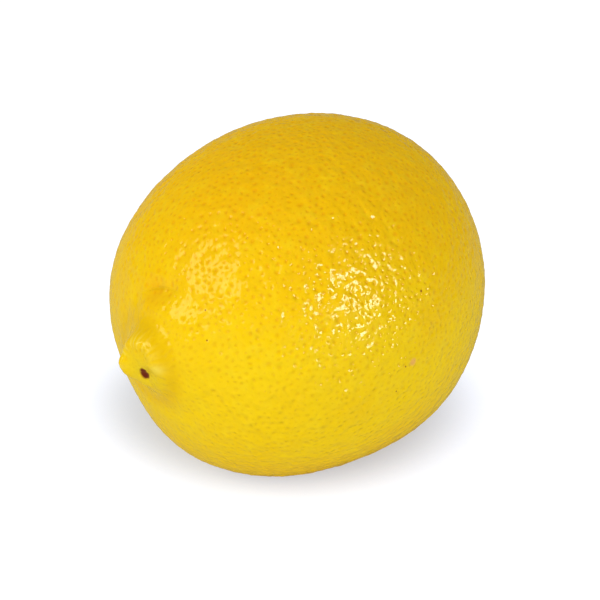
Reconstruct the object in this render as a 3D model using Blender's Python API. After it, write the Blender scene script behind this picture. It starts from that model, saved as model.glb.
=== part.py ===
"""A whole lemon lying on its side, on the small flat spot that its weight presses into the peel.

The long axis runs along X. The blossom end, with the nipple, points to -X and dips a little.
The stem end, with the dry stem button in its hollow, points to +X.
Units are metres, +Z is up, and the surface that the lemon lies on is Z = 0.

The skin is a function of the direction from the middle of the fruit. A direction is given as a
longitude, which turns from +X towards +Y, and a latitude. Distances between directions are chords
of the unit sphere, so a reach in degrees is about an angle.
"""

import math

import bmesh
import bpy
from mathutils import Matrix, Vector

MM = 0.001
DEG = math.radians(1.0)

# Body of the fruit
WAIST_RADIUS = 30.0 * MM
HALF_LENGTH = 32.9 * MM  # from the waist to either end, without the nipple
END_FULLNESS = 0.092  # how much fuller than an ellipse the body is towards its ends
TALLNESS = 0.014  # taller than the mean by this share, and as much narrower
DIP = 3.15 * DEG  # the blossom end lies this much lower
REST_SPOT_RADIUS = 5.5 * MM

# Low swellings of the body: longitude, latitude, reach, height. A dent has a negative height.
SWELLINGS = (
    (-19 * DEG, 41 * DEG, 25 * DEG, 0.41 * MM),
    (133 * DEG, 2 * DEG, 25 * DEG, 0.23 * MM),
    (162 * DEG, -43 * DEG, 20 * DEG, 0.70 * MM),
    (-109 * DEG, -60 * DEG, 22 * DEG, -0.54 * MM),
    (-70 * DEG, -38 * DEG, 18 * DEG, 0.33 * MM),
    (-49 * DEG, -6 * DEG, 22 * DEG, -0.21 * MM),
    (169 * DEG, 18.5 * DEG, 3.6 * DEG, -0.40 * MM),
    (173 * DEG, 20 * DEG, 4.0 * DEG, -0.55 * MM),
    (178 * DEG, 21 * DEG, 3.6 * DEG, -0.45 * MM),
)

# Hills that stand out along the long axis: longitude, latitude, reach, fall, height.
# A fall of 2 is a round hill, and a larger one has a flatter top and a steeper flank.
BLOSSOM_HILLS = (
    (-177.5 * DEG, 4.5 * DEG, 14.5 * DEG, 2.3, 2.4 * MM),  # broad shoulder of the nipple
    (174.5 * DEG, -1 * DEG, 8 * DEG, 3.0, 2.2 * MM),  # knob
    (180 * DEG, 0 * DEG, 3 * DEG, 2.0, -0.7 * MM),  # funnel
    (180 * DEG, 0 * DEG, 1.5 * DEG, 4.0, -0.8 * MM),  # scar of the blossom
)
STEM_HILLS = (
    (0 * DEG, 0 * DEG, 10.5 * DEG, 3.0, -2.6 * MM),  # hollow of the stem button
    (0 * DEG, 0 * DEG, 18 * DEG, 2.0, 0.5 * MM),  # low collar round it
)

# Furrows that run round a middle: its longitude and latitude, the ring's radius, reach and depth,
# the side where it is deepest, turned from -Y upwards, and how much it keeps to that side.
# A crest has a negative depth.
FURROWS = (
    (-177 * DEG, 5 * DEG, 18 * DEG, 3.5 * DEG, 0.25 * MM, 0 * DEG, 0.0),  # round the shoulder
    (174.8 * DEG, -2 * DEG, 6.2 * DEG, 2.2 * DEG, -1.3 * MM, 170 * DEG, 1.0),  # crest of the knob
    (175.5 * DEG, 0 * DEG, 10 * DEG, 2.6 * DEG, 0.9 * MM, 110 * DEG, 1.2),  # above the knob
)

# Dry button in the hollow at the stem end
BUTTON_RADIUS = 3.3 * MM
BUTTON_THICKNESS = 1.3 * MM
BUTTON_LOBES = 5
BUTTON_NOTCH = 0.22  # share of the radius by which the outline goes in between two lobes
BUTTON_GAP = 0.35 * MM
BUTTON_RINGS = 5
BUTTON_SEGMENTS = 40
PIT_RADIUS = 1.1 * MM  # where the stalk broke off
PIT_DEPTH = 0.4 * MM

# Mesh of the fruit
BANDS = 72
SEGMENTS = 80
END_CROWDING = 0.75  # how much narrower than even the bands are at the two ends

PEEL_COLOUR = (0.86, 0.62, 0.02, 1.0)
BUTTON_COLOUR = (0.20, 0.19, 0.07, 1.0)


def towards(longitude, latitude):
    """Unit vector of a direction from the middle of the fruit."""
    return Vector(
        (
            math.cos(latitude) * math.cos(longitude),
            math.cos(latitude) * math.sin(longitude),
            math.sin(latitude),
        )
    )


def bump(distance, reach, fall=2.0):
    """1 at no distance, falling smoothly to nothing past the reach."""
    return math.exp(-((abs(distance) / reach) ** fall))


def facing(way, middle, side):
    """How far a direction lies on the stated side of a middle near the blossom end, from 0 to 1."""
    across = middle.y - way.y
    upward = way.z - middle.z
    length = max(math.hypot(across, upward), 1e-9)
    return 0.5 + 0.5 * (across * math.cos(side) + upward * math.sin(side)) / length


def skin_point(way):
    """Point of the skin in a direction from the middle, before the fruit is dipped."""
    girth = WAIST_RADIUS * (1.0 + END_FULLNESS * way.x**2)
    point = Vector(
        (
            way.x * HALF_LENGTH,
            way.y * girth * (1.0 - TALLNESS),
            way.z * girth * (1.0 + TALLNESS),
        )
    )
    for longitude, latitude, reach, height in SWELLINGS:
        apart = (way - towards(longitude, latitude)).length
        point += way * height * bump(apart, reach)
    for longitude, latitude, ring, reach, depth, side, keeping in FURROWS:
        middle = towards(longitude, latitude)
        apart = (way - middle).length - ring
        point -= way * depth * bump(apart, reach) * facing(way, middle, side) ** keeping
    for end, hills in ((-1.0, BLOSSOM_HILLS), (1.0, STEM_HILLS)):
        for longitude, latitude, reach, fall, height in hills:
            apart = (way - towards(longitude, latitude)).length
            point.x += end * height * bump(apart, reach, fall)
    return point


def polar_way(polar, turn):
    """Unit vector at a polar angle from the blossom end and a turn about the long axis."""
    return Vector(
        (-math.cos(polar), math.sin(polar) * math.cos(turn), math.sin(polar) * math.sin(turn))
    )


def band_angle(share):
    """Polar angle of a band's edge, with the edges crowded towards the two ends."""
    return math.pi * share - 0.5 * END_CROWDING * math.sin(2.0 * math.pi * share)


def turn_angles(count):
    """Even steps round a full turn."""
    return [2.0 * math.pi * step / count for step in range(count)]


def close_skin(mesh, first, rings, last):
    """Joins rings of points into a closed skin, with a point at each end, and returns the mesh."""
    start = mesh.verts.new(first)
    finish = mesh.verts.new(last)
    loops = [[mesh.verts.new(point) for point in ring] for ring in rings]
    for loop, following in zip(loops, loops[1:]):
        for i in range(len(loop)):
            mesh.faces.new((loop[i], loop[i - 1], following[i - 1], following[i]))
    for i in range(len(loops[0])):
        mesh.faces.new((start, loops[0][i - 1], loops[0][i]))
        mesh.faces.new((finish, loops[-1][i], loops[-1][i - 1]))
    bmesh.ops.recalc_face_normals(mesh, faces=mesh.faces)
    return mesh


def cut_rest_spot(mesh):
    """Cuts the underside flat and returns the height of the cut."""
    lowest = min(vertex.co.z for vertex in mesh.verts)
    level = lowest + REST_SPOT_RADIUS**2 / (2.0 * WAIST_RADIUS)
    cut = bmesh.ops.bisect_plane(
        mesh,
        geom=mesh.verts[:] + mesh.edges[:] + mesh.faces[:],
        plane_co=(0.0, 0.0, level),
        plane_no=(0.0, 0.0, 1.0),
        clear_inner=True,
    )
    rim = [item for item in cut["geom_cut"] if isinstance(item, bmesh.types.BMEdge)]
    bmesh.ops.edgeloop_fill(mesh, edges=rim)
    bmesh.ops.recalc_face_normals(mesh, faces=mesh.faces)
    return level


def fruit_mesh():
    """The skin about the middle of the fruit, dipped."""
    rings = []
    for band in range(1, BANDS):
        polar = band_angle(band / BANDS)
        rings.append([skin_point(polar_way(polar, turn)) for turn in turn_angles(SEGMENTS)])
    first = skin_point(towards(math.pi, 0.0))
    last = skin_point(towards(0.0, 0.0))
    mesh = close_skin(bmesh.new(), first, rings, last)
    mesh.transform(Matrix.Rotation(-DIP, 4, "Y"))
    return mesh


def button_radius(turn):
    """Outline of the button, with rounded lobes and a notch between each two."""
    notch = 0.5 - 0.5 * math.cos(BUTTON_LOBES * turn)
    return BUTTON_RADIUS * (1.0 - BUTTON_NOTCH * notch**3)


def button_ring(share, height, turns):
    """Ring of the button at a share of its outline's radius and a height above its underside."""
    return [
        Vector(
            (
                height,
                share * button_radius(turn) * math.cos(turn),
                share * button_radius(turn) * math.sin(turn),
            )
        )
        for turn in turns
    ]


def button_mesh():
    """The button about the middle of its underside, facing +X: a domed lobed disc with a pit."""
    turns = turn_angles(BUTTON_SEGMENTS)
    rings = [button_ring(0.5, 0.0, turns), button_ring(0.92, 0.0, turns)]
    for step in range(BUTTON_RINGS + 1):
        share = 1.0 - step / BUTTON_RINGS * (1.0 - PIT_RADIUS / BUTTON_RADIUS)
        rise = 0.35 + 0.65 * math.sqrt(step / BUTTON_RINGS)
        rings.append(button_ring(share, BUTTON_THICKNESS * rise, turns))
    rings.append(button_ring(0.2, BUTTON_THICKNESS - PIT_DEPTH, turns))
    first = Vector((0.0, 0.0, 0.0))
    last = Vector((BUTTON_THICKNESS - PIT_DEPTH, 0.0, 0.0))
    return close_skin(bmesh.new(), first, rings, last)


def stem_seat():
    """Middle of the button's underside, in the fruit's own frame before it is dipped."""
    floor = skin_point(towards(0.0, 0.0)).x
    edge = skin_point(towards(BUTTON_RADIUS / WAIST_RADIUS, 0.0)).x
    return Vector((max(floor, edge) + BUTTON_GAP, 0.0, 0.0))


def material(name, colour, roughness):
    """Principled material of one colour."""
    result = bpy.data.materials.new(name)
    result.use_nodes = True
    shader = result.node_tree.nodes["Principled BSDF"]
    shader.inputs["Base Color"].default_value = colour
    shader.inputs["Roughness"].default_value = roughness
    shader.inputs["Metallic"].default_value = 0.0
    return result


def new_object(name, mesh, finish):
    """Smooth-shaded object from a bmesh, which is freed."""
    data = bpy.data.meshes.new(name)
    mesh.to_mesh(data)
    mesh.free()
    data.shade_smooth()
    data.set_sharp_from_angle(angle=40 * DEG)
    data.materials.append(finish)
    thing = bpy.data.objects.new(name, data)
    bpy.context.scene.collection.objects.link(thing)
    return thing


def centred(fruit, button, level):
    """Where the middle of the fruit goes for the whole lemon to be centred on Z and to lie on it."""
    points = [vertex.co for mesh in (fruit, button) for vertex in mesh.verts]
    ends = [point.x for point in points]
    sides = [point.y for point in points]
    return Vector((-0.5 * (min(ends) + max(ends)), -0.5 * (min(sides) + max(sides)), -level))


def main():
    for thing in list(bpy.data.objects):
        bpy.data.objects.remove(thing, do_unlink=True)
    fruit = fruit_mesh()
    level = cut_rest_spot(fruit)
    button = button_mesh()
    button.transform(Matrix.Rotation(-DIP, 4, "Y") @ Matrix.Translation(stem_seat()))
    middle = centred(fruit, button, level)
    peel = new_object("fruit", fruit, material("peel", PEEL_COLOUR, 0.35))
    calyx = new_object("stem_button", button, material("stem_button", BUTTON_COLOUR, 0.8))
    peel.location = middle
    calyx.location = middle


main()
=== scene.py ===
"""Looks of a whole lemon lying on its side: pitted waxy peel, nipple, dry stem button, pale studio.

The peel is one Geometry Nodes tree. It lays a net of oil glands over a unit sphere, and then moves
each point to the skin of the fruit, which is a function of the direction from its middle.
Lengths are metres, +Z is up, and the blossom end with the nipple points to -X.
"""

import math

import bmesh
import bpy
import numpy as np
from bpy.props import (
    FloatProperty,
    FloatVectorProperty,
    IntProperty,
    PointerProperty,
)
from mathutils import Matrix, Vector
from mathutils.geometry import delaunay_2d_cdt


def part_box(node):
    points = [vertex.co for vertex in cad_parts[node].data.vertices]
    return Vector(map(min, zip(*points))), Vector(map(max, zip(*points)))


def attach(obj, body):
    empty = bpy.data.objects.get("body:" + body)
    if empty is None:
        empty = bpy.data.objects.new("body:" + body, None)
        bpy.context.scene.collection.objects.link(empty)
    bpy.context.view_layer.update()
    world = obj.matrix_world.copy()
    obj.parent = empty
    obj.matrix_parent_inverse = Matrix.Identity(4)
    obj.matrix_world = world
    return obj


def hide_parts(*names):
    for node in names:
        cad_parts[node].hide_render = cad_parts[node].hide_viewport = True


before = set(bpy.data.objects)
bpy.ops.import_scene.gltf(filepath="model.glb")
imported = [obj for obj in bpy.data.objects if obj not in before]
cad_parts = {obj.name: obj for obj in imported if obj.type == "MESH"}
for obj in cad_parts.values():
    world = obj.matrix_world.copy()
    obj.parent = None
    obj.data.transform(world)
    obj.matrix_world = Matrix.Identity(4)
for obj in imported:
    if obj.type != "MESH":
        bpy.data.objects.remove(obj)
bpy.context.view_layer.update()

bl_info = {
    "name": "Lemon",
    "version": (1, 0, 0),
    "blender": (4, 5, 0),
    "location": "3D View > Sidebar > Lemon",
    "description": "Builds a whole lemon with a pitted peel, its stem button and a pale studio",
    "category": "Add Mesh",
}

MM = 0.001
DEG = math.radians(1.0)

# Many numbers in the next four tables are rounded results of a program that fitted them to the outline
# of a real lemon. The rest were set one by one. Angles are in degrees, heights and depths in
# millimetres.

# Low swellings and dents of the body: longitude, latitude, reach, height
SWELLINGS = (
    (-19, 41, 25, 0.41),
    (133, 2, 25, 0.23),
    (162, -43, 20, 0.70),
    (-109, -60, 22, -0.54),
    (-70, -38, 18, 0.33),
    (-49, -6, 22, -0.21),
    (158, 6, 10.1, -0.09),
    (156, -14, 8.7, 0.13),
    (140, 18, 14, 0.31),
    (140, -25, 14, -1.00),
    (155.5, -4, 5.8, -0.37),
    (172.5, 21, 2.6, -0.50),
    (176.5, 22.4, 3.0, -0.80),
    (-178.5, 23.8, 2.6, -0.55),
    (167.5, 17, 3.0, -0.45),
    (162.5, 11, 3.5, -0.25),
)

# Hills along the long axis: longitude, latitude, reach, fall, height away from the middle
BLOSSOM_HILLS = (
    (179.8, 5, 15, 2.3, 2.67),  # broad shoulder of the nipple
    (179, 3.8, 9.3, 4.0, 1.23),  # knob
    (171.3, -1, 4.4, 2.2, 1.52),  # lip of the knob
    (-175.8, 3.6, 2.6, 2.0, 0.4),  # bead beside the scar
    (-178.5, -0.7, 4.0, 2.0, -0.7),  # funnel
    (-179.8, -0.9, 1.8, 3.0, -0.2),  # scar of the blossom
)
STEM_HILLS = (
    (0, 0, 10.5, 3.0, -2.6),  # hollow of the stem button
    (0, 0, 18, 2.0, 0.5),  # low collar round it
)

# Furrows round a middle: longitude, latitude, ring, reach, depth, deepest side, keeping to it
FURROWS = (
    (-177.5, 5, 19, 3.2, 0.28, 0, 0.0),  # round the shoulder
    (179, 2.4, 7.1, 2.3, -1.09, 147, 1.0),  # crest of the knob
    (179, 2.4, 11.7, 3.3, 0.58, 127, 0.8),  # round the knob
    (178, 1.5, 12, 2.5, 0.35, 0, 1.0),  # far side of the knob
)

# Knob of the nipple: longitude and latitude of its middle, and the folds that run out from it
KNOB = (179, 2.4)
PLEAT_RING = 6.6
PLEAT_REACH = 2.1
PLEAT_COUNT = 11.0
PLEAT_SEED = 3.1
SMOOTH_SPOT = (179.3, -0.7, 4, 3.0)  # no pits at the scar: longitude, latitude, reach, fall

# Marks in the colour of the peel, some of them painted shade or highlights: longitude, latitude, reach,
# fall
SCAR = ((179.5, -0.9, 1.15, 14.0), (179.4, 0.4, 0.75, 12.0))
SCAR_RIM = ((179.5, -0.9, 1.4, 10.0), (179.4, 0.4, 1.0, 10.0))
SCRAPE = (-97.4, -2.0, 1.3, 4.0)
# The dent above the nipple is darker: partly its own tone, partly painted shade in the hollow.
DENT = (175.5, 21.5, 4.5, 2.0)
# Painted highlight: a pale spot on the bead beside the scar.
BEAD_GLINT = (-175.2, 2.6, 1.5, 2.0)
# The funnel round the scar is greener and darker: its own tone, with painted shade in the hollow.
FUNNEL = (179.5, -0.5, 5.5, 3.0)
STEM_END = (0, 0, 13, 3.0)

# Where the fine relief is weaker or stronger: longitude, latitude, reach, fall
CALM_SIDE = (155, -8, 36, 4.0)
ROUGH_SIDE = (-128, 8, 45, 3.0)

# Tiny brown specks of the peel: longitude, latitude, reach
SPECKS = (
    (-164.5, 20.8, 0.25),
    (-162.8, 12.5, 0.25),
    (-89.8, 19.5, 0.45),
    (-103.8, -10.7, 0.3),
    (-100.5, -2.6, 0.3),
)

# Light panels: degrees beside the camera, elevation, distance and size in metres
PANELS = {
    "right_light": (48, 18, 0.8, (0.30, 0.26)),
    "low_card": (25, 5, 0.6, (0.5, 0.1)),
    "left_light": (-57, 30, 0.8, (0.44, 0.44)),
}
CAMERA_SHIFT = (0.0005, -0.0089)
FLOOR_HALF = 2.0

# Pool of shade that is painted on the floor: its middle, the radii of its edge, the glow in and past it
POOL_MIDDLE = (13.8 * MM, 15.6 * MM, 0.0)
POOL_EDGE = (23 * MM, 41 * MM)
POOL_GLOW = (0.41, 0.88)
GLOW_COLOUR = (0.93, 0.96, 1.05, 1.0)

FLOAT = "NodeSocketFloat"
VECTOR = "NodeSocketVector"
WHOLE = "NodeSocketInt"
GEOMETRY = "NodeSocketGeometry"
FINISH = "NodeSocketMaterial"
GEOMETRY_TREE = "GeometryNodeTree"
SHADER_TREE = "ShaderNodeTree"


# ---------------------------------------------------------------- node trees


def feed(tree, socket, value):
    """Links a socket to another one's output, or sets it to a plain value."""
    if isinstance(value, bpy.types.NodeSocket):
        tree.links.new(value, socket)
    elif value is not None:
        socket.default_value = value


def add(tree, kind, inputs=None, **settings):
    """New node with its settings, and its inputs by name or number."""
    made = tree.nodes.new(kind)
    for name, value in settings.items():
        setattr(made, name, value)
    for key, value in (inputs or {}).items():
        feed(tree, made.inputs[key], value)
    return made


def calc(tree, operation, *values):
    """Result of a Math node."""
    return add(tree, "ShaderNodeMath", dict(enumerate(values)), operation=operation).outputs[0]


def vector(tree, operation, *values):
    """Result of a Vector Math node on vectors."""
    made = add(tree, "ShaderNodeVectorMath", dict(enumerate(values)), operation=operation)
    return made.outputs["Value" if operation in {"LENGTH", "DOT_PRODUCT"} else "Vector"]


def scaled(tree, arrow, factor):
    """A vector times a number."""
    made = add(tree, "ShaderNodeVectorMath", {0: arrow}, operation="SCALE")
    feed(tree, made.inputs["Scale"], factor)
    return made.outputs["Vector"]


def joined(tree, x, y, z):
    """Vector from three numbers."""
    return add(tree, "ShaderNodeCombineXYZ", {0: x, 1: y, 2: z}).outputs[0]


def parts(tree, arrow):
    """The three numbers of a vector."""
    return add(tree, "ShaderNodeSeparateXYZ", {0: arrow}).outputs


def mixed(tree, share, first, second):
    """Colour between two colours."""
    made = tree.nodes.new("ShaderNodeMix")
    made.data_type = "RGBA"
    feed(tree, made.inputs[0], share)
    feed(tree, made.inputs[6], first)
    feed(tree, made.inputs[7], second)
    return made.outputs[2]


def faded(tree, value, low, high, start=0.0, end=1.0):
    """A value carried from one range smoothly to another."""
    made = add(
        tree,
        "ShaderNodeMapRange",
        {0: value, 1: low, 2: high, 3: start, 4: end},
        interpolation_type="SMOOTHSTEP",
    )
    return made.outputs[0]


def noise_value(tree, place, scale, detail=2.0, roughness=0.5):
    """Smooth noise from 0 to 1."""
    return add(
        tree,
        "ShaderNodeTexNoise",
        {"Vector": place, "Scale": scale, "Detail": detail, "Roughness": roughness},
    ).outputs[0]


def start_tree(name, kind, inputs, outputs):
    """New node tree with named sockets. Returns it, its inputs by name and its output node."""
    tree = bpy.data.node_groups.new(name, kind)
    for label, socket, default in inputs:
        made = tree.interface.new_socket(name=label, in_out="INPUT", socket_type=socket)
        if default is not None:
            made.default_value = default
    for label, socket in outputs:
        tree.interface.new_socket(name=label, in_out="OUTPUT", socket_type=socket)
    source = tree.nodes.new("NodeGroupInput").outputs
    return tree, source, tree.nodes.new("NodeGroupOutput")


def use(tree, group, **inputs):
    """A group placed in a tree, with its inputs by name. A space in a name is written as _."""
    kind = "ShaderNodeGroup" if tree.bl_idname == SHADER_TREE else "GeometryNodeGroup"
    made = tree.nodes.new(kind)
    made.node_tree = group
    for name, value in inputs.items():
        feed(tree, made.inputs[name.replace("_", " ")], value)
    return made.outputs[0]


def bump_group(kind):
    """1 at no distance, falling smoothly to nothing past the reach."""
    tree, source, result = start_tree(
        "Bump",
        kind,
        (("Distance", FLOAT, 0.0), ("Reach", FLOAT, 0.1), ("Fall", FLOAT, 2.0)),
        (("Height", FLOAT),),
    )
    share = calc(tree, "DIVIDE", calc(tree, "ABSOLUTE", source["Distance"]), source["Reach"])
    power = calc(tree, "POWER", share, source["Fall"])
    feed(tree, result.inputs[0], calc(tree, "EXPONENT", calc(tree, "MULTIPLY", power, -1.0)))
    return tree


def direction_group(kind):
    """Unit vector at a longitude and a latitude."""
    tree, source, result = start_tree(
        "Direction", kind, (("Longitude", FLOAT, 0.0), ("Latitude", FLOAT, 0.0)), (("Way", VECTOR),)
    )
    level = calc(tree, "COSINE", source["Latitude"])
    x = calc(tree, "MULTIPLY", level, calc(tree, "COSINE", source["Longitude"]))
    y = calc(tree, "MULTIPLY", level, calc(tree, "SINE", source["Longitude"]))
    feed(tree, result.inputs[0], joined(tree, x, y, calc(tree, "SINE", source["Latitude"])))
    return tree


def spot_group(kind, bump, direction):
    """1 in a direction, falling to nothing round it."""
    tree, source, result = start_tree(
        "Spot",
        kind,
        (
            ("Way", VECTOR, (0.0, 0.0, 0.0)),
            ("Longitude", FLOAT, 0.0),
            ("Latitude", FLOAT, 0.0),
            ("Ring", FLOAT, 0.0),
            ("Reach", FLOAT, 0.1),
            ("Fall", FLOAT, 2.0),
        ),
        (("Mask", FLOAT),),
    )
    middle = use(tree, direction, Longitude=source["Longitude"], Latitude=source["Latitude"])
    apart = vector(tree, "LENGTH", vector(tree, "SUBTRACT", source["Way"], middle))
    apart = calc(tree, "SUBTRACT", apart, source["Ring"])
    mask = use(tree, bump, Distance=apart, Reach=source["Reach"], Fall=source["Fall"])
    feed(tree, result.inputs[0], mask)
    return tree


SKIN_SOCKETS = (
    ("Point", VECTOR, (0.0, 0.0, 0.0)),
    ("Way", VECTOR, (0.0, 0.0, 0.0)),
    ("Longitude", FLOAT, 0.0),
    ("Latitude", FLOAT, 0.0),
)


def spot_of(tree, source, spot, ring=0.0, fall=2.0):
    """Spot mask of a skin group that has the usual sockets."""
    return use(tree, spot, Way=source["Way"], Longitude=source["Longitude"],
               Latitude=source["Latitude"], Ring=ring, Reach=source["Reach"], Fall=fall)


def swelling_group(kind, spot):
    """Moves the skin outwards round a direction, or inwards where the height is negative."""
    tree, source, result = start_tree(
        "Swelling",
        kind,
        SKIN_SOCKETS + (("Reach", FLOAT, 0.1), ("Height", FLOAT, 0.0)),
        (("Point", VECTOR),),
    )
    rise = calc(tree, "MULTIPLY", source["Height"], spot_of(tree, source, spot))
    moved = vector(tree, "ADD", source["Point"], scaled(tree, source["Way"], rise))
    feed(tree, result.inputs[0], moved)
    return tree


def end_hill_group(kind, spot):
    """Moves the skin along the long axis round a direction near one of the ends."""
    tree, source, result = start_tree(
        "End Hill",
        kind,
        SKIN_SOCKETS
        + (("Reach", FLOAT, 0.1), ("Fall", FLOAT, 2.0), ("Rise along X", FLOAT, 0.0)),
        (("Point", VECTOR),),
    )
    mask = spot_of(tree, source, spot, fall=source["Fall"])
    rise = calc(tree, "MULTIPLY", source["Rise along X"], mask)
    feed(tree, result.inputs[0], vector(tree, "ADD", source["Point"], joined(tree, rise, 0.0, 0.0)))
    return tree


def furrow_group(kind, spot, direction):
    """Ring furrow round a direction near the blossom end, deepest on one side of it."""
    tree, source, result = start_tree(
        "Furrow",
        kind,
        SKIN_SOCKETS
        + (
            ("Ring", FLOAT, 0.2),
            ("Reach", FLOAT, 0.1),
            ("Depth", FLOAT, 0.0),
            ("Side", FLOAT, 0.0),
            ("Keeping", FLOAT, 0.0),
        ),
        (("Point", VECTOR),),
    )
    middle = use(tree, direction, Longitude=source["Longitude"], Latitude=source["Latitude"])
    _, across, upward = parts(tree, vector(tree, "SUBTRACT", source["Way"], middle))
    length = calc(tree, "SQRT", calc(tree, "ADD", calc(tree, "POWER", across, 2.0),
                                     calc(tree, "POWER", upward, 2.0)))
    length = calc(tree, "MAXIMUM", length, 1e-6)
    level = calc(tree, "MULTIPLY", across, calc(tree, "COSINE", source["Side"]))
    plumb = calc(tree, "MULTIPLY", upward, calc(tree, "SINE", source["Side"]))
    lean = calc(tree, "DIVIDE", calc(tree, "SUBTRACT", plumb, level), length)
    facing = calc(tree, "MULTIPLY_ADD", lean, 0.5, 0.5)
    facing = calc(tree, "POWER", calc(tree, "MAXIMUM", facing, 1e-6), source["Keeping"])
    depth = calc(tree, "MULTIPLY", calc(tree, "MULTIPLY", source["Depth"], facing),
                 spot_of(tree, source, spot, ring=source["Ring"]))
    moved = vector(tree, "SUBTRACT", source["Point"], scaled(tree, source["Way"], depth))
    feed(tree, result.inputs[0], moved)
    return tree


def pleat_group(kind, spot, direction):
    """Fine folds that run out from a direction near the blossom end like the spokes of a wheel."""
    tree, source, result = start_tree(
        "Pleats",
        kind,
        SKIN_SOCKETS
        + (
            ("Ring", FLOAT, 0.1),
            ("Reach", FLOAT, 0.1),
            ("Depth", FLOAT, 0.0),
            ("Count", FLOAT, 9.0),
            ("Seed", FLOAT, 0.0),
        ),
        (("Point", VECTOR),),
    )
    middle = use(tree, direction, Longitude=source["Longitude"], Latitude=source["Latitude"])
    _, across, upward = parts(tree, vector(tree, "SUBTRACT", source["Way"], middle))
    turn = calc(tree, "ARCTAN2", upward, calc(tree, "MULTIPLY", across, -1.0))
    radius = calc(tree, "DIVIDE", source["Count"], 2.0 * math.pi)
    spoke = joined(
        tree,
        calc(tree, "MULTIPLY", radius, calc(tree, "COSINE", turn)),
        calc(tree, "MULTIPLY", radius, calc(tree, "SINE", turn)),
        source["Seed"],
    )
    noise = add(tree, "ShaderNodeTexNoise", {"Vector": spoke, "Scale": 2.0, "Detail": 1.0})
    fold = calc(tree, "MULTIPLY_ADD", noise.outputs[0], 2.0, -1.0)
    mask = spot_of(tree, source, spot, ring=source["Ring"])
    rise = calc(tree, "MULTIPLY", calc(tree, "MULTIPLY", fold, source["Depth"]), mask)
    moved = vector(tree, "ADD", source["Point"], scaled(tree, source["Way"], rise))
    feed(tree, result.inputs[0], moved)
    return tree


def crowded(tree, bump, way, pole, share, reach):
    """Directions drawn closer together round a pole by a share."""
    off = vector(tree, "SUBTRACT", way, pole)
    near = use(tree, bump, Distance=vector(tree, "LENGTH", off), Reach=reach, Fall=2.0)
    keep = calc(tree, "MULTIPLY_ADD", near, -share, 1.0)
    return vector(tree, "NORMALIZE", vector(tree, "ADD", pole, scaled(tree, off, keep)))


def noise_arrow(tree, place, scale, detail=0.0):
    """Smooth noise in each of three directions, from about -1 to 1."""
    made = add(tree, "ShaderNodeTexNoise", {"Vector": place, "Scale": scale, "Detail": detail})
    return vector(tree, "MULTIPLY_ADD", made.outputs["Color"], (2.0,) * 3, (-1.0,) * 3)


def moved_to(tree, mesh, place):
    """Geometry with its points at a place."""
    return add(tree, "GeometryNodeSetPosition", {"Geometry": mesh, "Position": place}).outputs[0]


def scatter_tree(bump):
    """Geometry Nodes tree that scatters the glands' directions over the unit sphere."""
    tree, source, result = start_tree(
        "Gland Scatter",
        GEOMETRY_TREE,
        (("Gland Spacing", FLOAT, 0.03), ("Seed", WHOLE, 1)),
        (("Geometry", GEOMETRY),),
    )
    here = tree.nodes.new("GeometryNodeInputPosition").outputs[0]
    ball = add(tree, "GeometryNodeMeshIcoSphere", {"Radius": 1.0, "Subdivisions": 6}).outputs[0]
    strewn = tree.nodes.new("GeometryNodeDistributePointsOnFaces")
    strewn.distribute_method = "POISSON"
    feed(tree, strewn.inputs["Mesh"], ball)
    feed(tree, strewn.inputs["Distance Min"], source["Gland Spacing"])
    feed(tree, strewn.inputs["Density Max"], 2600.0)
    feed(tree, strewn.inputs["Seed"], source["Seed"])
    way = vector(tree, "NORMALIZE", here)
    way = crowded(tree, bump, way, (-1.0, 0.0, 0.0), 0.5, 26 * DEG)
    way = crowded(tree, bump, way, (1.0, 0.0, 0.0), 0.3, 22 * DEG)
    strewn = moved_to(tree, strewn.outputs["Points"], way)
    points = add(tree, "GeometryNodePointsToVertices", {"Points": strewn}).outputs[0]
    feed(tree, result.inputs[0], add(tree, "GeometryNodeRealizeInstances", {0: points}).outputs[0])
    return tree


def net_over(ways):
    """Closed net of triangles between scattered directions, as even as it can be.

    The directions are laid out flat from the stem end, where the net is closed by a fan.
    """
    flat = [Vector((way.y, way.z)) / (1.0 - way.x) for way in ways]
    _, _, faces, origins, _, _ = delaunay_2d_cdt(flat, [], [], 0, 1e-7)
    skin = bmesh.new()
    knots = [skin.verts.new(ways[origin[0]]) for origin in origins]
    for face in faces:
        skin.faces.new([knots[i] for i in face])
    pole = skin.verts.new((1.0, 0.0, 0.0))
    for edge in [edge for edge in skin.edges if edge.is_boundary]:
        skin.faces.new((*edge.verts, pole))
    bmesh.ops.recalc_face_normals(skin, faces=skin.faces)
    mesh = bpy.data.meshes.new("gland_net")
    skin.to_mesh(mesh)
    skin.free()
    return mesh


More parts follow.
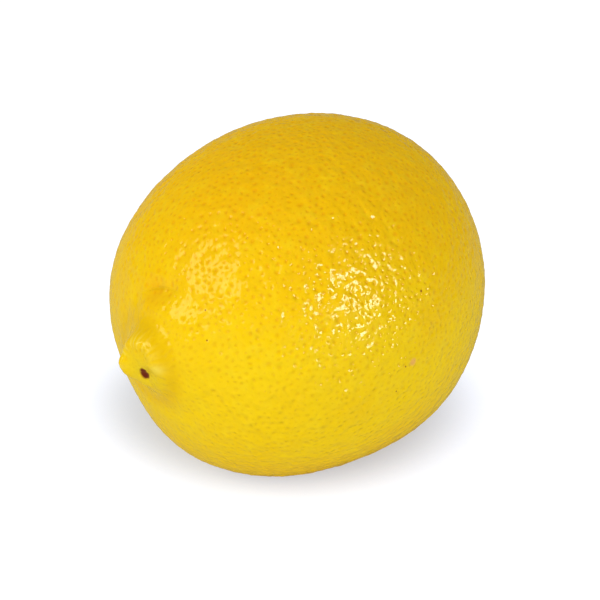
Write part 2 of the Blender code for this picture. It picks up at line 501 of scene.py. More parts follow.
def gland_cells(tree, source, net):
    """Net of triangles turned into a net of cells, one for each oil gland, with a gland in each.

    The attribute gland is 0 on the edges of the cells, 0.5 on the rims and 1 on the floors of the
    glands. The attribute vigour is drawn for each cell.
    """
    net = add(tree, "GeometryNodeDualMesh", {"Mesh": net}).outputs[0]
    draw = tree.nodes.new("FunctionNodeRandomValue")
    draw.data_type = "FLOAT"
    feed(tree, draw.inputs["Seed"], source["Seed"])
    draw = draw.outputs[1]
    net = add(
        tree,
        "GeometryNodeStoreNamedAttribute",
        {"Geometry": net, "Name": "vigour", "Value": draw},
        data_type="FLOAT",
        domain="FACE",
    ).outputs[0]
    width = calc(tree, "MULTIPLY", source["Gland Width"], faded(tree, draw, 0.0, 1.0, 0.7, 1.3))
    for size, level in ((width, 0.5), (0.0, 1.0)):
        within = None if level == 0.5 else raised.outputs["Top"]
        raised = add(
            tree,
            "GeometryNodeExtrudeMesh",
            {"Mesh": net, "Selection": within, "Offset Scale": 0.0, "Individual": True},
            mode="FACES",
        )
        shrunk = add(
            tree,
            "GeometryNodeScaleElements",
            {"Geometry": raised.outputs["Mesh"], "Selection": raised.outputs["Top"], "Scale": size},
            domain="FACE",
        )
        kept = add(
            tree,
            "GeometryNodeStoreNamedAttribute",
            {"Geometry": shrunk.outputs[0], "Selection": raised.outputs["Top"], "Name": "gland",
             "Value": level},
            data_type="FLOAT",
            domain="POINT",
        )
        net = kept.outputs[0]
    return add(tree, "GeometryNodeMergeByDistance", {"Geometry": net, "Distance": 1e-5}).outputs[0]


def shaped_skin(tree, source, way, groups):
    """Point of the smooth skin in a direction, before the fruit is dipped.

    The rule is the CAD solid's. The nipple and the swellings and dents round it have other numbers.
    """
    x, y, z = parts(tree, way)
    girth = calc(tree, "MULTIPLY_ADD", calc(tree, "POWER", calc(tree, "ABSOLUTE", x), 2.0),
                 source["End Fullness"], 1.0)
    girth = calc(tree, "MULTIPLY", girth, source["Waist Radius"])
    narrow = calc(tree, "MULTIPLY", girth, calc(tree, "SUBTRACT", 1.0, source["Tallness"]))
    tall = calc(tree, "MULTIPLY", girth, calc(tree, "ADD", 1.0, source["Tallness"]))
    point = joined(
        tree,
        calc(tree, "MULTIPLY", x, source["Half Length"]),
        calc(tree, "MULTIPLY", y, narrow),
        calc(tree, "MULTIPLY", z, tall),
    )
    for longitude, latitude, reach, height in SWELLINGS:
        point = use(tree, groups["Swelling"], Point=point, Way=way, Longitude=longitude * DEG,
                    Latitude=latitude * DEG, Reach=reach * DEG, Height=height * MM)
    for longitude, latitude, ring, reach, depth, side, keeping in FURROWS:
        point = use(tree, groups["Furrow"], Point=point, Way=way, Longitude=longitude * DEG,
                    Latitude=latitude * DEG, Ring=ring * DEG, Reach=reach * DEG, Depth=depth * MM,
                    Side=side * DEG, Keeping=keeping)
    for end, hills in ((-1.0, BLOSSOM_HILLS), (1.0, STEM_HILLS)):
        for longitude, latitude, reach, fall, height in hills:
            point = use(tree, groups["End Hill"], Point=point, Way=way, Longitude=longitude * DEG,
                        Latitude=latitude * DEG, Reach=reach * DEG, Fall=fall,
                        Rise_along_X=end * height * MM)
    return point


def stored(tree, name):
    """Value of a stored attribute."""
    made = add(tree, "GeometryNodeInputNamedAttribute", data_type="FLOAT")
    made.inputs["Name"].default_value = name
    return made.outputs["Attribute"]


def waves(tree, way, source, length, height):
    """Smooth waves over the skin, up and down from its mean."""
    scale = calc(tree, "DIVIDE", source["Waist Radius"], source[length])
    noise = add(tree, "ShaderNodeTexNoise", {"Vector": way, "Scale": scale, "Detail": 0.5})
    return calc(tree, "MULTIPLY", calc(tree, "MULTIPLY_ADD", noise.outputs[0], 4.0, -2.0),
                source[height])


def peel_tree(bump):
    """Geometry Nodes tree of the whole fruit."""
    kind = GEOMETRY_TREE
    direction = direction_group(kind)
    spot = spot_group(kind, bump, direction)
    groups = {
        "Swelling": swelling_group(kind, spot),
        "End Hill": end_hill_group(kind, spot),
        "Furrow": furrow_group(kind, spot, direction),
    }
    pleats = pleat_group(kind, spot, direction)
    tree, source, result = start_tree(
        "Lemon Fruit",
        kind,
        (
            ("Gland Net", GEOMETRY, None),
            ("Waist Radius", FLOAT, 0.0),
            ("Half Length", FLOAT, 0.0),
            ("End Fullness", FLOAT, 0.0),
            ("Tallness", FLOAT, 0.0),
            ("Dip", FLOAT, 0.0),
            ("Middle", VECTOR, (0.0, 0.0, 0.0)),
            ("Gland Width", FLOAT, 0.0),
            ("Gland Depth", FLOAT, 0.0),
            ("Hollow Depth", FLOAT, 0.0),
            ("Wave Height", FLOAT, 0.0),
            ("Wave Length", FLOAT, 0.01),
            ("Ripple Height", FLOAT, 0.0),
            ("Ripple Length", FLOAT, 0.01),
            ("Pleat Depth", FLOAT, 0.0),
            ("Seed", WHOLE, 1),
            ("Peel", FINISH, None),
        ),
        (("Geometry", GEOMETRY),),
    )
    net = gland_cells(tree, source, source["Gland Net"])
    here = tree.nodes.new("GeometryNodeInputPosition").outputs[0]
    way = vector(tree, "NORMALIZE", here)
    point = shaped_skin(tree, source, way, groups)
    point = use(tree, pleats, Point=point, Way=way, Longitude=KNOB[0] * DEG,
                Latitude=KNOB[1] * DEG, Ring=PLEAT_RING * DEG, Reach=PLEAT_REACH * DEG,
                Depth=source["Pleat Depth"], Count=PLEAT_COUNT, Seed=PLEAT_SEED)

    gland = stored(tree, "gland")
    vigour = faded(tree, stored(tree, "vigour"), 0.0, 1.0, 0.3, 1.7)
    longitude, latitude, reach, fall = SMOOTH_SPOT
    scar = use(tree, spot, Way=way, Longitude=longitude * DEG, Latitude=latitude * DEG, Ring=0.0,
               Reach=reach * DEG, Fall=fall)
    calm = calc(tree, "SUBTRACT", 1.0, scar)
    hollow = calc(tree, "MULTIPLY", calc(tree, "MINIMUM", calc(tree, "MULTIPLY", gland, 2.0), 1.0),
                  source["Hollow Depth"])
    pit = calc(tree, "MULTIPLY", calc(tree, "MAXIMUM", calc(tree, "MULTIPLY_ADD", gland, 2.0, -1.0),
                                      0.0), source["Gland Depth"])
    sink = calc(tree, "MULTIPLY", calc(tree, "ADD", hollow, pit), calm)
    sink = calc(tree, "MULTIPLY", sink, vigour)
    wave = calc(tree, "ADD", waves(tree, way, source, "Wave Length", "Wave Height"),
                waves(tree, way, source, "Ripple Length", "Ripple Height"))
    point = vector(tree, "ADD", point, scaled(tree, way, calc(tree, "SUBTRACT", wave, sink)))

    turned = add(tree, "ShaderNodeVectorRotate",
                 {"Vector": point, "Angle": calc(tree, "MULTIPLY", source["Dip"], -1.0)},
                 rotation_type="Y_AXIS")
    placed = vector(tree, "ADD", turned.outputs[0], source["Middle"])
    x, y, z = parts(tree, placed)
    fruit = moved_to(tree, net, joined(tree, x, y, calc(tree, "MAXIMUM", z, 0.0)))
    fruit = add(tree, "GeometryNodeRealizeInstances", {"Geometry": fruit}).outputs[0]
    fruit = add(tree, "GeometryNodeSetShadeSmooth", {"Geometry": fruit}).outputs[0]
    fruit = add(tree, "GeometryNodeSetMaterial", {"Geometry": fruit, "Material": source["Peel"]})
    feed(tree, result.inputs[0], fruit.outputs[0])
    return tree


# ---------------------------------------------------------------- materials


def plain_material(name, **settings):
    """Principled material with constant settings. Returns it, its tree and its shader's inputs."""
    finish = bpy.data.materials.new(name)
    finish.use_nodes = True
    tree = finish.node_tree
    shader = tree.nodes["Principled BSDF"]
    for label, value in settings.items():
        shader.inputs[label.replace("_", " ")].default_value = value
    return finish, tree, shader.inputs


def peel_material(shape, finish):
    """Waxy yellow peel with darker glands, a maroon blossom scar and a greener stem end. Its upper side
    and the hollows by the nipple carry painted shade, and the knob painted highlights.
    """
    kind = SHADER_TREE
    bump = bump_group(kind)
    direction = direction_group(kind)
    spot = spot_group(kind, bump, direction)
    made, tree, shader = plain_material("peel", IOR=1.46, Specular_IOR_Level=0.35)
    place = add(tree, "ShaderNodeTexCoord").outputs["Object"]
    local = add(
        tree,
        "ShaderNodeMapping",
        {"Vector": place, "Location": shape.middle[:], "Rotation": (0.0, -shape.dip, 0.0)},
        vector_type="TEXTURE",
    ).outputs[0]
    way = vector(tree, "NORMALIZE", local)
    upward = parts(tree, way)[2]

    def marked(longitude, latitude, reach, fall=2.0, ring=0.0, where=way):
        return use(tree, spot, Way=where, Longitude=longitude * DEG, Latitude=latitude * DEG,
                   Ring=ring * DEG, Reach=reach * DEG, Fall=fall)

    blotch = noise_value(tree, local, 55.0, 2.0)
    mottle = noise_value(tree, local, 420.0, 2.0)
    colour = mixed(tree, faded(tree, blotch, 0.35, 0.65), finish.yellow[:], finish.golden[:])
    # Painted shade: the upper side turns darker and warmer, where less light falls from above.
    top_shade = calc(tree, "MULTIPLY", faded(tree, upward, -0.1, 1.0), 0.62)
    colour = mixed(tree, top_shade, colour, finish.orange[:])
    colour = mixed(tree, calc(tree, "MULTIPLY", faded(tree, mottle, 0.45, 0.75), 0.35), colour,
                   finish.pale[:])

    gland = add(tree, "ShaderNodeAttribute", attribute_name="gland",
                attribute_type="GEOMETRY").outputs["Fac"]
    scar_edge = vector(tree, "ADD", way, scaled(tree, noise_arrow(tree, local, 900.0, 1.0), 0.006))
    scar = calc(tree, "MAXIMUM", *(marked(*mark, where=scar_edge) for mark in SCAR))
    vigour = add(tree, "ShaderNodeAttribute", attribute_name="vigour",
                 attribute_type="GEOMETRY").outputs["Fac"]
    dot = calc(tree, "MULTIPLY", faded(tree, gland, 0.35, 0.85), calc(tree, "SUBTRACT", 1.0, scar))
    dot = calc(tree, "MULTIPLY", dot, faded(tree, vigour, 0.0, 1.0, 0.25, 0.5))
    dot = calc(tree, "MULTIPLY", dot, faded(tree, upward, -0.7, 0.0, 0.55, 1.0))
    warm = mixed(tree, faded(tree, upward, -0.2, 0.7), finish.olive[:], finish.gland[:])
    colour = mixed(tree, dot, colour, warm)

    # Dent above the nipple: darker, partly its own tone and partly painted shade in the hollow.
    dent = calc(tree, "MULTIPLY", marked(*DENT), 0.4)
    colour = mixed(tree, dent, colour, finish.gland[:])
    # Painted shade: the crease above the nipple and the furrow round the knob are darkened to olive.
    crease = calc(tree, "MULTIPLY", marked(-177.5, 5, 0.4, ring=18.5), marked(176, 22.4, 6.0))
    shade = calc(tree, "MULTIPLY", calc(tree, "MAXIMUM", crease, marked(175, 0, 2.8, ring=12.4)), 0.7)
    colour = mixed(tree, shade, colour, finish.olive[:])
    # Painted highlights: pale streaks on the crest of the knob and a pale spot on the bead beside the
    # scar stand in for glints of light.
    knob = use(tree, direction, Longitude=KNOB[0] * DEG, Latitude=KNOB[1] * DEG)
    off = vector(tree, "SUBTRACT", way, knob)
    spoke = vector(tree, "NORMALIZE", vector(tree, "MULTIPLY", off, (0.0, 1.0, 1.0)))
    stripe = faded(tree, noise_value(tree, spoke, 4.2, 1.0), 0.42, 0.58)
    crest = calc(tree, "MULTIPLY", marked(*KNOB, 1.6, ring=6.4), marked(175, 7, 8.5, fall=4.0))
    waxy = calc(tree, "MAXIMUM", calc(tree, "MULTIPLY", crest, stripe), marked(*BEAD_GLINT))
    colour = mixed(tree, calc(tree, "MULTIPLY", waxy, 0.6), colour, finish.wax[:])
    # Funnel round the scar: greener tone of its own, with painted shade in the hollow.
    hollow = calc(tree, "MULTIPLY", marked(*FUNNEL), 0.25)
    colour = mixed(tree, hollow, colour, finish.green[:])
    for longitude, latitude, reach in SPECKS:
        colour = mixed(tree, marked(longitude, latitude, reach, 4.0), colour, finish.rim[:])
    scrape = marked(*SCRAPE, where=scar_edge)
    colour = mixed(tree, calc(tree, "MULTIPLY", scrape, 0.8), colour, finish.scrape[:])
    greener = marked(*STEM_END)
    colour = mixed(tree, calc(tree, "MULTIPLY", greener, 0.5), colour, finish.green[:])
    rim = calc(tree, "MAXIMUM", *(marked(*mark, where=scar_edge) for mark in SCAR_RIM))
    colour = mixed(tree, calc(tree, "MULTIPLY", rim, 0.75), colour, finish.rim[:])
    colour = mixed(tree, scar, colour, finish.scar[:])
    feed(tree, shader["Base Color"], colour)

    rough = faded(tree, noise_value(tree, local, 260.0, 2.0), 0.3, 0.7, 0.09, 0.15)
    feed(tree, shader["Roughness"], rough)

    swell = noise_value(tree, local, 500.0, 0.5)
    ripple = noise_value(tree, local, 1000.0, 0.5)
    grain = noise_value(tree, local, 3200.0, 2.0, 0.6)
    depth = faded(tree, vigour, 0.0, 1.0, 0.6, 1.3)
    pit = calc(tree, "MULTIPLY", calc(tree, "POWER", gland, 2.5), depth)
    height = calc(tree, "MULTIPLY", ripple, finish.ripple / MM)
    height = calc(tree, "MULTIPLY_ADD", swell, finish.swell / MM, height)
    height = calc(tree, "MULTIPLY_ADD", pit, -finish.pit / MM, height)
    calm = calc(tree, "MULTIPLY_ADD", marked(*CALM_SIDE), -0.9, 1.0)
    calm = calc(tree, "MULTIPLY", calm, faded(tree, upward, -0.8, -0.2, 0.25, 1.0))
    calm = calc(tree, "MULTIPLY", calm,
                calc(tree, "MULTIPLY_ADD", marked(*ROUGH_SIDE), 0.7, 0.6))
    height = calc(tree, "MULTIPLY_ADD", grain, finish.grain / MM, height)
    height = calc(tree, "MULTIPLY", height, calm)
    height = calc(tree, "MULTIPLY_ADD", crease, -finish.crease / MM, height)
    relief = add(tree, "ShaderNodeBump", {"Height": height, "Strength": 1.0, "Distance": MM})
    feed(tree, shader["Normal"], relief.outputs[0])
    return made


# ---------------------------------------------------------------- settings


def size_setting(name, description, default):
    """Property of a length."""
    return FloatProperty(
        name=name, description=description, default=default, subtype="DISTANCE", unit="LENGTH"
    )


def angle_setting(name, description, default):
    """Property of an angle."""
    return FloatProperty(
        name=name, description=description, default=default, subtype="ANGLE", unit="ROTATION"
    )


def power_setting(name, description, default):
    """Property of a light's power."""
    return FloatProperty(
        name=name, description=description, default=default, subtype="POWER", unit="POWER"
    )


def share_setting(name, description, default):
    """Property of a share."""
    return FloatProperty(name=name, description=description, default=default, subtype="FACTOR")


def tint(name, description, colour):
    """Property of a linear colour."""
    return FloatVectorProperty(
        name=name, description=description, default=(*colour, 1.0), size=4, subtype="COLOR",
        min=0.0, max=1.0,
    )


class LemonFruitShape(bpy.types.PropertyGroup):
    """Sizes of the fruit and of the pits in its peel."""

    waist_radius: size_setting("Waist Radius", "Half the girth's width", 30 * MM)
    half_length: size_setting(
        "Half Length", "From the waist to either end, without the nipple", 32.9 * MM
    )
    end_fullness: share_setting(
        "End Fullness", "How much fuller than an ellipse the ends are", 0.092
    )
    tallness: share_setting(
        "Tallness", "Share by which the fruit is taller and narrower than round", 0.014
    )
    dip: angle_setting("Dip", "How far the blossom end is turned down", 3.15 * DEG)
    middle: FloatVectorProperty(
        name="Middle", description="Where the middle of the fruit is",
        default=(2.244 * MM, -0.010 * MM, 29.844 * MM), subtype="TRANSLATION", unit="LENGTH",
    )
    gland_spacing: size_setting("Gland Spacing", "Least distance between two glands", 0.82 * MM)
    gland_width: share_setting("Gland Width", "Width of a gland's rim as a share of its cell", 0.45)
    gland_depth: size_setting(
        "Gland Depth", "How deep a gland's floor is below its rim", 0.025 * MM
    )
    hollow_depth: size_setting(
        "Hollow Depth", "How deep a gland's rim is below the edge of its cell", 0.015 * MM
    )
    wave_height: size_setting("Wave Height", "Height of the low waves of the peel", 0.04 * MM)
    wave_length: size_setting("Wave Length", "Width of the low waves of the peel", 2.8 * MM)
    ripple_height: size_setting(
        "Ripple Height", "Height of the ripples between the glands", 0.08 * MM
    )
    ripple_length: size_setting(
        "Ripple Length", "Width of the ripples between the glands", 1.0 * MM
    )
    pleat_depth: size_setting(
        "Pleat Depth", "Depth of the folds round the knob of the nipple", 0.45 * MM
    )
    seed: IntProperty(name="Seed", description="Seed of the glands' places and widths", default=7)


class LemonPeelFinish(bpy.types.PropertyGroup):
    """Colours and fine relief of the peel."""

    yellow: tint("Yellow", "Main colour of the peel", (0.90, 0.62, 0.002))
    golden: tint("Golden", "Warmer patches of the peel", (0.89, 0.58, 0.002))
    # Painted shade of the upper side, where less light falls from above.
    orange: tint("Orange", "Ripest, upper side of the peel", (0.91, 0.46, 0.002))
    pale: tint("Pale", "Pale flecks between the glands", (0.93, 0.68, 0.01))
    # Painted highlight colour of the knob's crest and of the bead beside the scar.
    wax: tint("Wax", "Waxy ridges of the knob", (0.98, 0.78, 0.12))
    # Gland colour also darkens the dent above the nipple, partly as painted shade.
    gland: tint("Gland", "Oil glands and dents", (0.83, 0.35, 0.001))
    # Olive also paints the shade in the crease above the nipple and the furrow round the knob.
    olive: tint("Olive", "Oil glands of the lower side, and creases", (0.80, 0.49, 0.001))
    # Green also darkens the funnel round the scar, partly as painted shade.
    green: tint("Green", "Round the stem button and in the funnel", (0.55, 0.52, 0.03))
    swell: size_setting("Swell", "Height of the waves in the bump of the peel", 0.42 * MM)
    ripple: size_setting("Ripple", "Height of the ripples in the bump", 0.15 * MM)
    grain: size_setting("Grain", "Height of the finest grain of the peel", 0.01 * MM)
    pit: size_setting("Pit", "Depth of the small pit over each gland", 0.085 * MM)
    crease: size_setting("Crease", "Depth of the crease above the nipple", 0.15 * MM)
    rim: tint("Scar Rim", "Brown rim of the blossom scar, and specks", (0.30, 0.08, 0.01))
    scrape: tint("Scrape", "Small healed scrape on the side", (0.84, 0.42, 0.12))
    scar: tint("Scar", "Blossom scar", (0.13, 0.003, 0.001))


# ---------------------------------------------------------------- pieces


def show(name, mesh):
    """Object at the origin that shows a mesh."""
    thing = bpy.data.objects.new(name, mesh)
    bpy.context.scene.collection.objects.link(thing)
    return thing


def set_inputs(modifier, values):
    """Sets a Geometry Nodes modifier's inputs by their names."""
    for item in modifier.node_group.interface.items_tree:
        if item.in_out == "INPUT" and item.socket_type != GEOMETRY:
            modifier[item.identifier] = values[item.name]


def by_label(settings):
    """Values of a property group by the names of the sockets that they are for."""
    return {
        name.replace("_", " ").title(): getattr(settings, name)
        for name in settings.__annotations__
    }


def with_tree(thing, tree, values):
    """Plain mesh that a Geometry Nodes tree makes of an object, which is left as it was."""
    modifier = thing.modifiers.new(tree.name, "NODES")
    modifier.node_group = tree
    set_inputs(modifier, values)
    graph = bpy.context.evaluated_depsgraph_get()
    mesh = bpy.data.meshes.new_from_object(
        thing.evaluated_get(graph), preserve_all_data_layers=True, depsgraph=graph
    )
    thing.modifiers.remove(modifier)
    return mesh


def unwrap_on_cube(mesh, middle):
    """UV map OFBake: the six sides of a cube round the middle, three by two."""
    points = np.empty(len(mesh.vertices) * 3)
    mesh.vertices.foreach_get("co", points)
    points = points.reshape(-1, 3) - np.array(middle)
    corners = np.empty(len(mesh.loops), np.int32)
    mesh.loops.foreach_get("vertex_index", corners)
    counts = np.empty(len(mesh.polygons), np.int32)
    mesh.polygons.foreach_get("loop_total", counts)
    faces = np.repeat(np.arange(len(counts)), counts)
    at = points[corners]
    centres = np.stack([np.bincount(faces, at[:, i]) for i in range(3)], 1) / counts[:, None]
    axis = np.abs(centres).argmax(1)
    towards = centres[np.arange(len(axis)), axis] > 0
    axis, towards = axis[faces], towards[faces]
    rows = np.arange(len(at))
    depth = np.abs(at[rows, axis])
    across = at[rows, (axis + 1) % 3] / depth
    upward = at[rows, (axis + 2) % 3] / depth
    spots = np.stack(
        [(axis + 0.5 + 0.47 * across) / 3.0, (towards + 0.5 + 0.47 * upward) / 2.0], 1
    )
    layer = mesh.uv_layers.new(name="OFBake")
    layer.data.foreach_set("uv", spots.astype(np.float32).ravel())


class LEMON_OT_fruit(bpy.types.Operator):
    """Builds the fruit with its pitted peel"""

    bl_idname = "lemon.fruit"
    bl_label = "Fruit"

    def execute(self, context):
        shape = context.scene.lemon_fruit_shape
        finish = peel_material(shape, context.scene.lemon_peel_finish)
        thing = show("peel", bpy.data.meshes.new("peel_start"))
        bump = bump_group(GEOMETRY_TREE)
        spacing = shape.gland_spacing / shape.waist_radius
        scattered = with_tree(
            thing, scatter_tree(bump), {"Gland Spacing": spacing, "Seed": shape.seed}
        )
        thing.data = net_over([vertex.co for vertex in scattered.vertices])
        values = {**by_label(shape), "Middle": shape.middle[:], "Peel": finish}
        mesh = with_tree(thing, peel_tree(bump), values)
        mesh.name = "peel"
        thing.data = mesh
        if not mesh.materials or mesh.materials[0] is None:
            raise RuntimeError("the peel came out without its material")
        unwrap_on_cube(mesh, shape.middle)
        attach(thing, "root")
        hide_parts("fruit")
        return {"FINISHED"}


def button_points(button):
    """Rings of points of the stem button about the middle of its underside, facing +X."""
    turns = np.linspace(0.0, 2.0 * math.pi, 160, endpoint=False)
    lobe = 0.5 - 0.5 * np.cos(button.lobes * turns)
    outline = button.radius * (1.0 - button.notch * lobe**3)
    outline = outline * (1.0 + 0.012 * np.sin(17 * turns + 1.0) + 0.010 * np.sin(29 * turns))
    rings = [(0.30, 0.0), (0.60, 0.0), (0.90, 0.02), (0.99, 0.12)]
    rings += [(share, None) for share in np.linspace(1.0, 0.02, 46)]
    made = []
    for share, height in rings:
        rise = np.full_like(turns, height) if height is not None else button_rise(share, turns, button)
        reach = share * outline
        ring = [button.thickness * rise, reach * np.cos(turns), reach * np.sin(turns)]
        made.append(np.stack(ring, 1))
    return made


def button_rise(share, turns, button):
    """Height of the button's top as a share of its thickness."""
    rise = 0.34 + 0.5 * (1.0 - share) ** 0.7
    vein = np.cos(button.lobes * turns) ** 2 * np.exp(-(((share - 0.75) / 0.2) ** 2))
    wrinkle = np.sin(23 * turns + 5.0 * share) * np.sin(11.0 * share + 2.0 * np.sin(3 * turns))
    rise = rise + 0.10 * vein + 0.035 * wrinkle * share
    stump = np.exp(-((share / 0.36) ** 6))
    rise = rise + stump * (0.16 + 0.03 * np.sin(9 * turns + 14.0 * share))
    bowl = np.exp(-((share / 0.22) ** 4))
    return rise - 0.42 * bowl + 0.05 * bowl * np.sin(5 * turns + 22.0 * share)


def closed_rings(name, rings, first, last):
    """Closed mesh through rings of points, with a point at each end."""
    count = len(rings[0])
    points = np.concatenate([[first], *rings, [last]])
    faces = []
    for ring in range(len(rings) - 1):
        for i in range(count):
            here = 1 + ring * count
            after = (i + 1) % count
            faces.append((here + i, here + after, here + count + after, here + count + i))
    end = 1 + (len(rings) - 1) * count
    for i in range(count):
        after = (i + 1) % count
        faces.append((0, 1 + after, 1 + i))
        faces.append((len(points) - 1, end + i, end + after))
    mesh = bpy.data.meshes.new(name)
    mesh.from_pydata([tuple(point) for point in points], [], faces)
    skin = bmesh.new()
    skin.from_mesh(mesh)
    bmesh.ops.recalc_face_normals(skin, faces=skin.faces)
    skin.to_mesh(mesh)
    skin.free()
    mesh.shade_smooth()
    return mesh


def button_material(finish, middle):
    """Dry brownish green husk with streaks that run out from a paler stump."""
    made, tree, shader = plain_material("stem_button", IOR=1.4)
    place = add(tree, "ShaderNodeTexCoord").outputs["Object"]
    local = vector(tree, "SUBTRACT", place, tuple(middle))
    _, across, upward = parts(tree, local)
    apart = vector(tree, "LENGTH", local)
    turn = calc(tree, "ARCTAN2", upward, across)
    ray = joined(tree, calc(tree, "COSINE", turn), calc(tree, "SINE", turn),
                 calc(tree, "MULTIPLY", apart, 150.0))
    streak = noise_value(tree, ray, 9.0, 3.0, 0.6)
    fleck = noise_value(tree, local, 1800.0, 3.0, 0.6)
    colour = mixed(tree, faded(tree, streak, 0.35, 0.65), finish.husk[:], finish.streak[:])
    stump = faded(tree, apart, 1.4 * MM, 0.8 * MM)
    colour = mixed(tree, stump, colour, finish.stump[:])
    colour = mixed(tree, faded(tree, fleck, 0.5, 0.8, 0.0, 0.5), colour, finish.fleck[:])
    feed(tree, shader["Base Color"], colour)
    feed(tree, shader["Roughness"], faded(tree, streak, 0.3, 0.7, 0.6, 0.85))
    height = calc(tree, "MULTIPLY_ADD", fleck, 0.6, streak)
    relief = add(tree, "ShaderNodeBump", {"Height": height, "Strength": 0.5, "Distance": 0.2 * MM})
    feed(tree, shader["Normal"], relief.outputs[0])
    return made


class LemonButtonShape(bpy.types.PropertyGroup):
    """Sizes and colours of the stem button."""

    radius: size_setting("Radius", "From the middle to the tip of a lobe", 3.3 * MM)
    thickness: size_setting("Thickness", "From the underside to the top of the stump", 1.35 * MM)
    lobes: IntProperty(name="Lobes", description="How many lobes the star has", default=5)
    notch: share_setting(
        "Notch", "Share of the radius by which the outline goes in between lobes", 0.22
    )
    husk: tint("Husk", "Main colour of the dry husk", (0.20, 0.17, 0.06))
    streak: tint("Streak", "Greener streaks", (0.16, 0.19, 0.05))
    stump: tint("Stump", "Pale wood where the stalk broke off", (0.42, 0.31, 0.15))
    fleck: tint("Fleck", "Dark flecks", (0.07, 0.05, 0.02))


class LEMON_OT_stem_button(bpy.types.Operator):
    """Builds the dry stem button in its hollow"""

    bl_idname = "lemon.stem_button"
    bl_label = "Stem Button"

    def execute(self, context):
        button = context.scene.lemon_button_shape
        dip = context.scene.lemon_fruit_shape.dip
        low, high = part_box("stem_button")
        turned = Matrix.Rotation(-dip, 4, "Y")
        seat = (low + high) / 2.0 - turned @ Vector((0.5 * button.thickness, 0.0, 0.0))
        rings = button_points(button)
        top = rings[-1][:, 0].mean()
        mesh = closed_rings("stem_button", rings, (0.0, 0.0, 0.0), (top, 0.0, 0.0))
        mesh.transform(Matrix.Translation(seat) @ turned)
        mesh.materials.append(button_material(button, seat))
        thing = show("stem_button_dry", mesh)
        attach(thing, "root")
        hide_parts("stem_button")
        return {"FINISHED"}


# ---------------------------------------------------------------- stage


class LemonStage(bpy.types.PropertyGroup):
    """Camera, lights and floor."""

    azimuth: angle_setting("Azimuth", "Where the camera stands round the fruit", -45.84 * DEG)
    elevation: angle_setting("Elevation", "How high the camera stands", 25 * DEG)
    distance: size_setting("Distance", "From the camera to the middle of the fruit", 450 * MM)
    lens: FloatProperty(
        name="Lens", description="Focal length of the camera in millimetres", default=157.9,
    )
    right_light: power_setting("Right Light", "Power of the right light", 4.2)
    left_light: power_setting("Left Light", "Power of the left light", 2.36)
    left_tint: tint("Left Tint", "Warm colour of the left light", (1.0, 0.97, 0.62))
    low_card: power_setting("Low Card", "Power of the white card low in front", 1.06)
    tent: FloatProperty(
        name="Tent", description="Brightness of the white surroundings", default=0.59,
    )
    floor: tint("Floor", "Pale floor", (0.80, 0.84, 0.99))
    reflected: tint("Reflected", "What the peel reflects of the surroundings", (0.80, 0.56, 0.07))
    floor_reflected: tint("Floor Reflected", "What the peel reflects of the floor", (0.82, 0.68, 0.30))


def camera_axes(azimuth, elevation):
    """Right, up and back of a camera that looks at the fruit."""
    back = Vector(
        (
            math.sin(azimuth) * math.cos(elevation),
            -math.cos(azimuth) * math.cos(elevation),
            math.sin(elevation),
        )
    )
    right = Vector((math.cos(azimuth), math.sin(azimuth), 0.0))
    return right, back.cross(right), back


def place_at(thing, right, up, back, spot):
    """Turns and places a camera or a light, which looks against its back."""
    turned = Matrix((right, up, back)).transposed().to_4x4()
    thing.matrix_world = Matrix.Translation(spot) @ turned


def add_light(name, stage, middle, colour=(1.0, 1.0, 1.0)):
    """Light panel that stands beside the camera's direction by an angle and faces the fruit."""
    beside, elevation, distance, size = PANELS[name]
    right, up, back = camera_axes(stage.azimuth + beside * DEG, elevation * DEG)
    lamp = bpy.data.lights.new(name, "AREA")
    lamp.shape = "RECTANGLE"
    lamp.size, lamp.size_y = size
    lamp.energy = getattr(stage, name)
    lamp.color = colour
    thing = bpy.data.objects.new(name, lamp)
    bpy.context.scene.collection.objects.link(thing)
    place_at(thing, right, up, back, middle + back * distance)
    return thing


def floor_material(colour, reflected):
    """Matt white board with a barely visible mottle, which glows but for a soft pool of shade."""
    made, tree, shader = plain_material("pale_board", Roughness=0.9)
    place = add(tree, "ShaderNodeTexCoord").outputs["Object"]
    mottle = faded(tree, noise_value(tree, place, 30.0), 0.3, 0.7, 0.99, 1.0)
    rays = tree.nodes.new("ShaderNodeLightPath").outputs
    dimmed = calc(tree, "MULTIPLY_ADD", rays["Is Camera Ray"], -0.55, mottle)
    board = scaled(tree, tuple(colour[:3]), dimmed)
    feed(tree, shader["Base Color"], mixed(tree, rays["Is Glossy Ray"], board, reflected[:]))
    apart = vector(tree, "LENGTH", vector(tree, "SUBTRACT", place, POOL_MIDDLE))
    glow = faded(tree, apart, *POOL_EDGE, *POOL_GLOW)
    shader["Emission Color"].default_value = GLOW_COLOUR
    feed(tree, shader["Emission Strength"], calc(tree, "MULTIPLY", rays["Is Camera Ray"], glow))
    return made


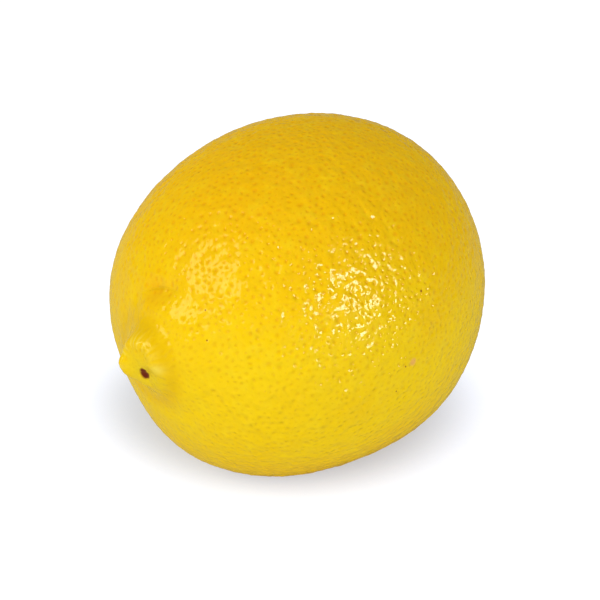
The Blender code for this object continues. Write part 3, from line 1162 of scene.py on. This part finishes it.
class LEMON_OT_stage(bpy.types.Operator):
    """Sets up the camera, the lights and the floor"""

    bl_idname = "lemon.stage"
    bl_label = "Stage"

    def execute(self, context):
        scene = context.scene
        stage = scene.lemon_stage
        middle = Vector(scene.lemon_fruit_shape.middle)

        lens = bpy.data.cameras.new("camera")
        lens.lens = stage.lens
        lens.shift_x, lens.shift_y = CAMERA_SHIFT
        lens.clip_start = 0.01
        camera = bpy.data.objects.new("camera", lens)
        scene.collection.objects.link(camera)
        right, up, back = camera_axes(stage.azimuth, stage.elevation)
        place_at(camera, right, up, back, middle + back * stage.distance)
        scene.camera = camera

        add_light("right_light", stage, middle).visible_diffuse = False
        add_light("low_card", stage, middle).visible_glossy = False
        add_light("left_light", stage, middle, stage.left_tint[:3])

        board = bpy.data.meshes.new("floor")
        signs = ((-1, -1), (1, -1), (1, 1), (-1, 1))
        corners = [(x * FLOOR_HALF, y * FLOOR_HALF, 0.0) for x, y in signs]
        board.from_pydata(corners, [], [(0, 1, 2, 3)])
        board.materials.append(floor_material(stage.floor, stage.floor_reflected))
        show("floor", board)

        world = bpy.data.worlds.new("white_tent")
        world.use_nodes = True
        tree = world.node_tree
        tent = tree.nodes["Background"].inputs
        glossy = tree.nodes.new("ShaderNodeLightPath").outputs["Is Glossy Ray"]
        white = (stage.tent, stage.tent, stage.tent, 1.0)
        feed(tree, tent["Color"], mixed(tree, glossy, white, stage.reflected[:]))
        tent["Strength"].default_value = 1.0
        scene.world = world
        scene.view_settings.view_transform = "Standard"
        return {"FINISHED"}


class LEMON_PT_panel(bpy.types.Panel):
    """Buttons and settings of the lemon in the sidebar"""

    bl_idname = "LEMON_PT_panel"
    bl_label = "Lemon"
    bl_space_type = "VIEW_3D"
    bl_region_type = "UI"
    bl_category = "Lemon"

    def draw(self, context):
        scene = context.scene
        for label, operator, settings in (
            ("Fruit", "lemon.fruit", scene.lemon_fruit_shape),
            ("Peel finish", None, scene.lemon_peel_finish),
            ("Stem button", "lemon.stem_button", scene.lemon_button_shape),
            ("Stage", "lemon.stage", scene.lemon_stage),
        ):
            box = self.layout.box()
            box.label(text=label)
            for name in settings.__annotations__:
                box.prop(settings, name)
            if operator:
                box.operator(operator)


SETTINGS = {
    "lemon_fruit_shape": LemonFruitShape,
    "lemon_peel_finish": LemonPeelFinish,
    "lemon_button_shape": LemonButtonShape,
    "lemon_stage": LemonStage,
}
CLASSES = (
    *SETTINGS.values(),
    LEMON_OT_fruit,
    LEMON_OT_stem_button,
    LEMON_OT_stage,
    LEMON_PT_panel,
)


def register():
    for made in CLASSES:
        bpy.utils.register_class(made)
    for name, group in SETTINGS.items():
        setattr(bpy.types.Scene, name, PointerProperty(type=group))


def unregister():
    for name in SETTINGS:
        delattr(bpy.types.Scene, name)
    for made in reversed(CLASSES):
        bpy.utils.unregister_class(made)


def main():
    register()
    bpy.ops.lemon.fruit()
    bpy.ops.lemon.stem_button()
    bpy.ops.lemon.stage()


if __name__ == "__main__":
    main()
